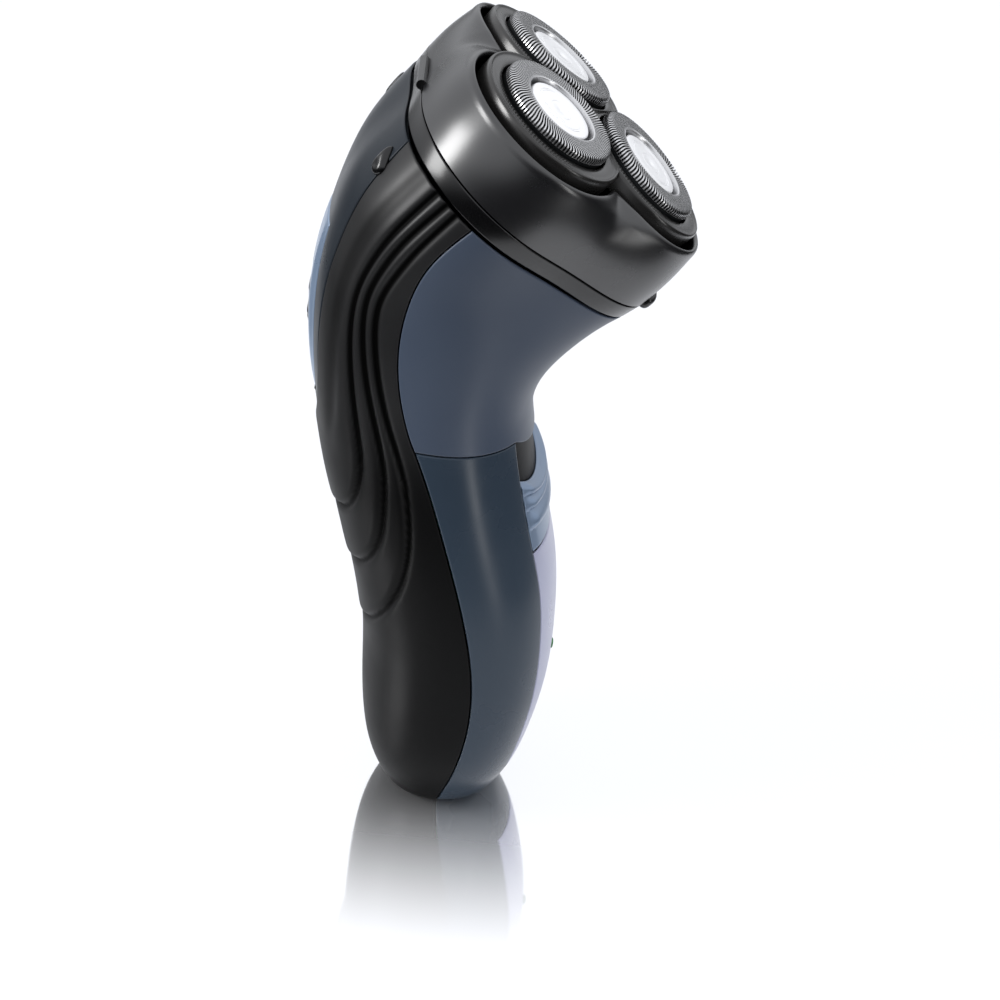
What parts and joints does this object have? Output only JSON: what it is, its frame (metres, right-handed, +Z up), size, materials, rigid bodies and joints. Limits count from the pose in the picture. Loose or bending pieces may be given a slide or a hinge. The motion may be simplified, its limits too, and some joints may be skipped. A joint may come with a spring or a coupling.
{
  "type": "rotary electric shaver",
  "caption": "Cordless rotary electric shaver with a curved rubber-gripped handle, an angled flip-open head of three floating slotted caps, a thumb slide switch and a pop-out trimmer.",
  "frame": {"origin": "on the flat foot of the handle, under the middle of the object's box", "axes": "+Z up along the standing handle, the front with the thumb switch towards -Y, +X across the shaver"},
  "size_m": [0.0582, 0.0662, 0.1477],
  "materials": {
    "grip_rubber": "satin",
    "blue_shell": "satin",
    "slate_shell": "gloss",
    "lavender_panel": "satin",
    "silver_blue": "satin",
    "gloss_black": "gloss",
    "gunmetal": "gloss",
    "satin_grey": "satin",
    "steel": "polished",
    "brass": "satin",
    "white_plastic": "satin",
    "board_green": "matte",
    "cell": "gloss",
    "lens": "clear"
  },
  "bodies": {
    "handle": {"grip_shell": "grip_rubber", "back_cover": "slate_shell", "front_shell_upper": "blue_shell", "front_shell_lower": "slate_shell", "front_panel": "lavender_panel", "light_pipe": "lens", "end_cap": "gloss_black", "inlet_pin_left": "steel", "inlet_pin_right": "steel", "collar_ring": "gloss_black", "switch_bed": "gloss_black", "hair_chamber": "gloss_black", "motor": "steel", "gear_plate": "satin_grey", "plate_screw_left": "steel", "plate_screw_right": "steel", "battery_left": "cell", "battery_right": "cell", "battery_cradle": "satin_grey", "circuit_board": "board_green", "switch_block": "satin_grey", "charge_coil": "brass", "lug_left": "grip_rubber", "lug_right": "grip_rubber", "hinge_pin": "steel", "trimmer_pin": "steel"},
    "pinion": {"motor_pinion": "brass", "motor_shaft": "steel"},
    "slide": {"slide_switch": "silver_blue"},
    "button": {"release_button": "gloss_black"},
    "trimmer": {"trimmer_flap": "silver_blue", "trimmer_comb": "steel"},
    "trimmer_cutter": {"trimmer_blade": "steel"},
    "trimmer_button": {"trimmer_slide": "satin_grey"},
    "shaving_unit": {"head_shell": "gunmetal", "retaining_frame": "white_plastic"},
    "lock": {"retaining_lock": "gunmetal"},
    "gear_1": {"drive_gear_1": "white_plastic", "spindle_1": "white_plastic", "spindle_spring_1": "steel"},
    "plate_1": {"head_plate_1": "satin_grey"},
    "cap_1": {"shaving_cap_1": "steel", "cap_disc_1": "steel"},
    "cutter_1": {"cutter_1": "steel"},
    "gear_2": {"drive_gear_2": "white_plastic", "spindle_2": "white_plastic", "spindle_spring_2": "steel"},
    "plate_2": {"head_plate_2": "satin_grey"},
    "cap_2": {"shaving_cap_2": "steel", "cap_disc_2": "steel"},
    "cutter_2": {"cutter_2": "steel"},
    "gear_3": {"drive_gear_3": "white_plastic", "spindle_3": "white_plastic", "spindle_spring_3": "steel"},
    "plate_3": {"head_plate_3": "satin_grey"},
    "cap_3": {"shaving_cap_3": "steel", "cap_disc_3": "steel"},
    "cutter_3": {"cutter_3": "steel"}
  },
  "joints": [
    {"name": "shaving_unit_hinge", "type": "hinge", "parent": "handle", "child": "shaving_unit", "pos_m": [0, 0.01601, 0.14023], "axis": [-1, 0, 0], "range_deg": [0, 90]},
    {"name": "lock_turn", "type": "hinge", "parent": "shaving_unit", "child": "lock", "pos_m": [0, -0.0067, 0.12873], "axis": [0, -0.6293, 0.7771], "range_deg": [0, 90]},
    {"name": "switch_slide", "type": "slide", "parent": "handle", "child": "slide", "axis": [0, 0.2172, 0.9761], "range_m": [0, 0.0055]},
    {"name": "release_press", "type": "slide", "parent": "handle", "child": "button", "axis": [0, 0.7378, 0.675], "range_m": [0, 0.0012], "stiffness_N_per_m": 400, "springref_m": -0.001},
    {"name": "trimmer_hinge", "type": "hinge", "parent": "handle", "child": "trimmer", "pos_m": [0, 0.03037, 0.0823], "axis": [-1, 0, 0], "range_deg": [0, 75]},
    {"name": "trimmer_stroke", "type": "slide", "parent": "trimmer", "child": "trimmer_cutter", "axis": [1, 0, 0], "range_m": [-0.0008, 0.0008]},
    {"name": "trimmer_slide", "type": "slide", "parent": "trimmer", "child": "trimmer_button", "axis": [0, 0.0236, -0.9997], "range_m": [0, 0.0025]},
    {"name": "pinion_spin", "type": "hinge", "parent": "handle", "child": "pinion", "pos_m": [0, 0.00463, 0.11474], "axis": [0, -0.6293, 0.7771], "continuous": true},
    {"name": "gear_1_spin", "type": "hinge", "parent": "handle", "child": "gear_1", "pos_m": [0, -0.00626, 0.10592], "axis": [0, -0.6293, 0.7771], "continuous": true},
    {"name": "plate_1_tilt", "type": "hinge", "parent": "shaving_unit", "child": "plate_1", "pos_m": [0, -0.02208, 0.1258], "axis": [1, 0, 0], "range_deg": [-3, 3], "stiffness_Nm_per_rad": 0.15},
    {"name": "cap_1_float", "type": "slide", "parent": "plate_1", "child": "cap_1", "axis": [0, 0.6934, -0.7206], "range_m": [0, 0.0012], "stiffness_N_per_m": 300, "springref_m": -0.001},
    {"name": "cutter_1_spin", "type": "hinge", "parent": "cap_1", "child": "cutter_1", "pos_m": [0, -0.02181, 0.12552], "axis": [0, -0.6934, 0.7206], "continuous": true},
    {"name": "gear_2_spin", "type": "hinge", "parent": "handle", "child": "gear_2", "pos_m": [0.01214, 0.01008, 0.11915], "axis": [0, -0.6293, 0.7771], "continuous": true},
    {"name": "plate_2_tilt", "type": "hinge", "parent": "shaving_unit", "child": "plate_2", "pos_m": [0.01195, -0.006, 0.13883], "axis": [-0.5, 0.673, 0.545], "range_deg": [-3, 3], "stiffness_Nm_per_rad": 0.15},
    {"name": "cap_2_float", "type": "slide", "parent": "plate_2", "child": "cap_2", "axis": [-0.074, 0.5938, -0.8012], "range_m": [0, 0.0012], "stiffness_N_per_m": 300, "springref_m": -0.001},
    {"name": "cutter_2_spin", "type": "hinge", "parent": "cap_2", "child": "cutter_2", "pos_m": [0.01192, -0.00576, 0.13851], "axis": [0.074, -0.5938, 0.8012], "continuous": true},
    {"name": "gear_3_spin", "type": "hinge", "parent": "handle", "child": "gear_3", "pos_m": [-0.01214, 0.01008, 0.11915], "axis": [0, -0.6293, 0.7771], "continuous": true},
    {"name": "plate_3_tilt", "type": "hinge", "parent": "shaving_unit", "child": "plate_3", "pos_m": [-0.01195, -0.006, 0.13883], "axis": [-0.5, -0.673, -0.545], "range_deg": [-3, 3], "stiffness_Nm_per_rad": 0.15},
    {"name": "cap_3_float", "type": "slide", "parent": "plate_3", "child": "cap_3", "axis": [0.074, 0.5938, -0.8012], "range_m": [0, 0.0012], "stiffness_N_per_m": 300, "springref_m": -0.001},
    {"name": "cutter_3_spin", "type": "hinge", "parent": "cap_3", "child": "cutter_3", "pos_m": [-0.01192, -0.00576, 0.13851], "axis": [-0.074, -0.5938, 0.8012], "continuous": true}
  ],
  "couplings": [
    {"joint": "pinion_spin", "follows": "gear_1_spin", "ratio": -2.8333},
    {"joint": "cutter_1_spin", "follows": "gear_1_spin", "ratio": 1},
    {"joint": "gear_2_spin", "follows": "gear_1_spin", "ratio": 1},
    {"joint": "cutter_2_spin", "follows": "gear_1_spin", "ratio": 1},
    {"joint": "gear_3_spin", "follows": "gear_1_spin", "ratio": 1},
    {"joint": "cutter_3_spin", "follows": "gear_1_spin", "ratio": 1}
  ]
}
